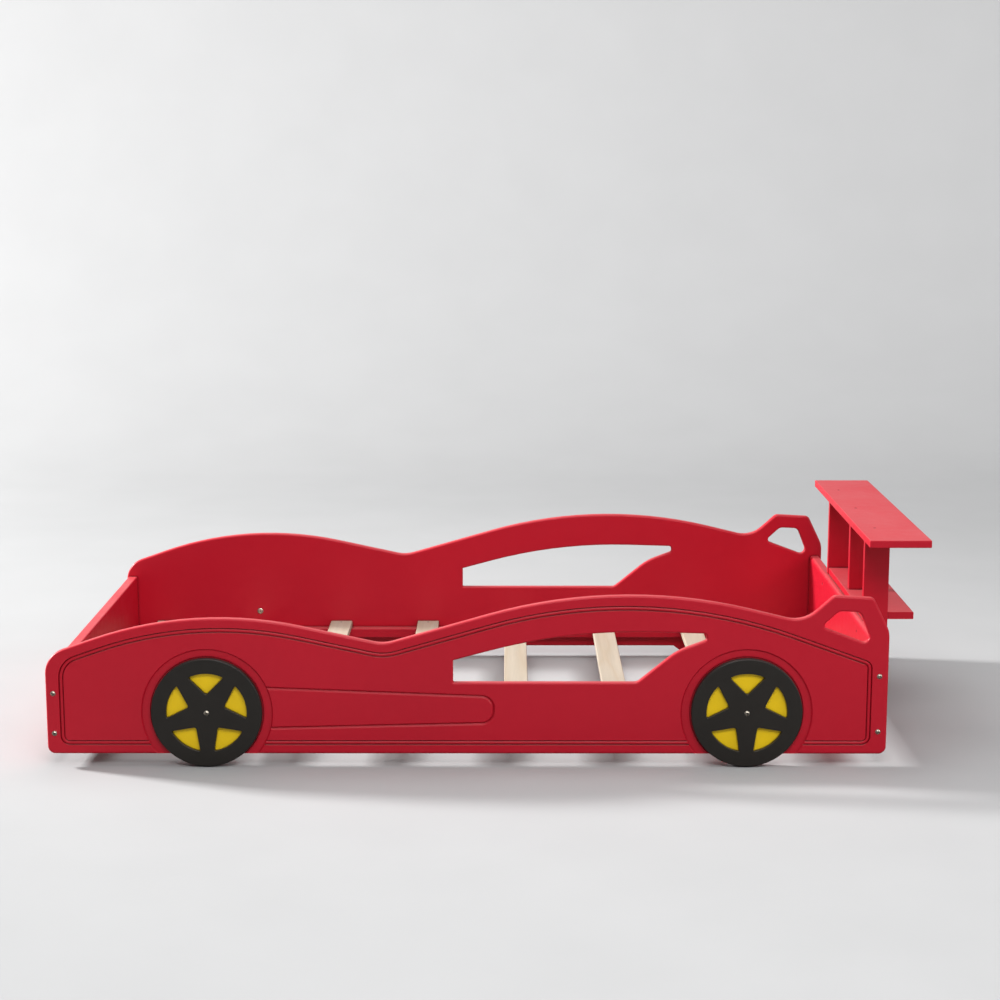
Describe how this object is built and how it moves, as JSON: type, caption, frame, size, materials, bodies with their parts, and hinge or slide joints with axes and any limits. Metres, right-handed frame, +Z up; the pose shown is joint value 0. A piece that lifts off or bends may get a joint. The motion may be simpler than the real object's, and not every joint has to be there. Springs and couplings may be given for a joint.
{
  "type": "children's car bed",
  "caption": "Low single bed for a child in the shape of a racing car, with side panels, wheels that turn, a slat deck and a rear wing with a shelf.",
  "frame": {"origin": "on the floor under the middle of the whole bed, rear wing included", "axes": "+X from the foot end (car nose) to the head end (rear wing), +Y to the car's right side, +Z up"},
  "size_m": [2.091, 1.0824, 0.525],
  "materials": {
    "red_lacquer": "satin red lacquer on MDF",
    "black_lacquer": "satin black lacquer on MDF",
    "yellow_lacquer": "satin yellow lacquer on MDF",
    "pine": "bare planed pine",
    "beech": "bare turned beech",
    "bright_steel": "bright zinc plate",
    "zinc_screw": "dull zinc plate"
  },
  "bodies": {
    "bed_frame": {"side_panel_left": "red_lacquer", "side_panel_right": "red_lacquer", "footboard": "red_lacquer", "headboard": "red_lacquer", "slat_ledger_left": "red_lacquer", "slat_ledger_right": "red_lacquer", "slat_1": "pine", "slat_2": "pine", "slat_3": "pine", "slat_4": "pine", "slat_5": "pine", "slat_6": "pine", "slat_7": "pine", "slat_8": "pine", "axle_bolts": "bright_steel", "axle_nuts": "bright_steel", "corner_bolts": "bright_steel", "corner_barrel_nuts": "bright_steel", "corner_dowels": "beech", "wing_blade": "red_lacquer", "wing_shelf": "red_lacquer", "wing_upright_left": "red_lacquer", "wing_upright_middle": "red_lacquer", "wing_upright_right": "red_lacquer", "blade_screws": "zinc_screw", "upright_screws": "zinc_screw", "shelf_screws": "zinc_screw", "ledger_screws": "zinc_screw", "slat_screws": "zinc_screw"},
    "wheel_front_left": {"wheel_disc_front_left": "black_lacquer", "wheel_backing_front_left": "yellow_lacquer"},
    "wheel_front_right": {"wheel_disc_front_right": "black_lacquer", "wheel_backing_front_right": "yellow_lacquer"},
    "wheel_rear_left": {"wheel_disc_rear_left": "black_lacquer", "wheel_backing_rear_left": "yellow_lacquer"},
    "wheel_rear_right": {"wheel_disc_rear_right": "black_lacquer", "wheel_backing_rear_right": "yellow_lacquer"}
  },
  "joints": [
    {"name": "wheel_front_left_spin", "type": "hinge", "parent": "bed_frame", "child": "wheel_front_left", "pos_m": [-0.6665, -0.5275, 0.1325], "axis": [0, 1, 0], "continuous": true},
    {"name": "wheel_front_right_spin", "type": "hinge", "parent": "bed_frame", "child": "wheel_front_right", "pos_m": [-0.6665, 0.5275, 0.1325], "axis": [0, 1, 0], "continuous": true},
    {"name": "wheel_rear_left_spin", "type": "hinge", "parent": "bed_frame", "child": "wheel_rear_left", "pos_m": [0.6035, -0.5275, 0.1325], "axis": [0, 1, 0], "continuous": true},
    {"name": "wheel_rear_right_spin", "type": "hinge", "parent": "bed_frame", "child": "wheel_rear_right", "pos_m": [0.6035, 0.5275, 0.1325], "axis": [0, 1, 0], "continuous": true}
  ]
}
